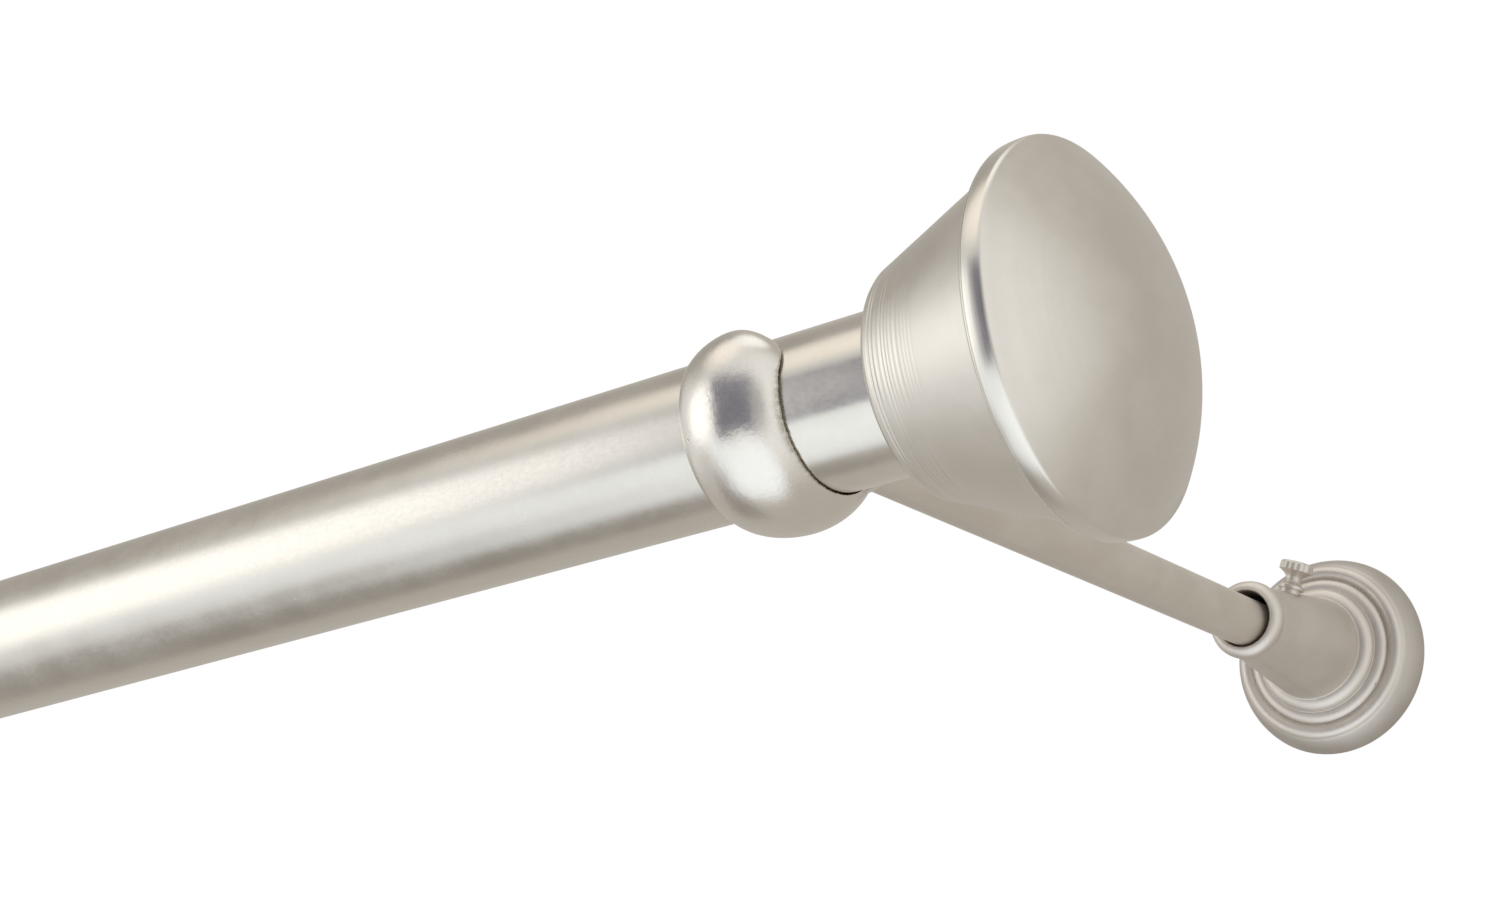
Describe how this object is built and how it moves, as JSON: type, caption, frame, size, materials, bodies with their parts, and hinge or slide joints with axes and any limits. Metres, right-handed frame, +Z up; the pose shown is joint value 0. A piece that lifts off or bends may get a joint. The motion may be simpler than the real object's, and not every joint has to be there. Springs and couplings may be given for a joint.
{
  "type": "curtain rod",
  "caption": "Satin nickel curtain rod: a plain tube held in open hooks on adjustable round wall brackets, closed at its ends by flared, domed push-in finials.",
  "frame": {"origin": "midway between the two wall-screw holes, in the plane of the wall", "axes": "+X along the rod, +Y into the wall, +Z up"},
  "size_m": [0.697, 0.1618, 0.0436],
  "materials": {
    "tube_nickel": "satin nickel plate with a soft lengthwise sheen",
    "finial_nickel": "turned satin nickel plate, polished on the rim band",
    "hook_nickel": "polished nickel plate over a slightly pitted casting",
    "bracket_nickel": "matt nickel plate",
    "plug_plastic": "moulded white plastic",
    "screw_steel": "zinc plated steel"
  },
  "bodies": {
    "wall_bases": {"right_base": "bracket_nickel", "left_base": "bracket_nickel"},
    "rod_and_arms": {"rod_tube": "tube_nickel", "right_hook": "hook_nickel", "left_hook": "hook_nickel", "right_arm": "bracket_nickel", "left_arm": "bracket_nickel"},
    "right_finial": {"right_finial": "finial_nickel", "right_finial_plug": "plug_plastic", "right_plug_screw": "screw_steel"},
    "left_finial": {"left_finial": "finial_nickel", "left_finial_plug": "plug_plastic", "left_plug_screw": "screw_steel"},
    "right_thumbscrew": {"right_thumbscrew": "bracket_nickel"},
    "left_thumbscrew": {"left_thumbscrew": "bracket_nickel"}
  },
  "joints": [
    {"name": "projection_slide", "type": "slide", "parent": "wall_bases", "child": "rod_and_arms", "axis": [0, -1, 0], "range_m": [-0.0025, 0.008]},
    {"name": "right_finial_pull", "type": "slide", "parent": "rod_and_arms", "child": "right_finial", "axis": [1, 0, 0], "range_m": [0, 0.025]},
    {"name": "left_finial_pull", "type": "slide", "parent": "rod_and_arms", "child": "left_finial", "axis": [-1, 0, 0], "range_m": [0, 0.025]},
    {"name": "right_thumbscrew_turn", "type": "hinge", "parent": "wall_bases", "child": "right_thumbscrew", "pos_m": [0.3, -0.0185, 0], "axis": [0.3746, 0, 0.9272], "range_deg": [0, 360]},
    {"name": "left_thumbscrew_turn", "type": "hinge", "parent": "wall_bases", "child": "left_thumbscrew", "pos_m": [-0.3, -0.0185, 0], "axis": [-0.3746, 0, 0.9272], "range_deg": [0, 360]}
  ]
}
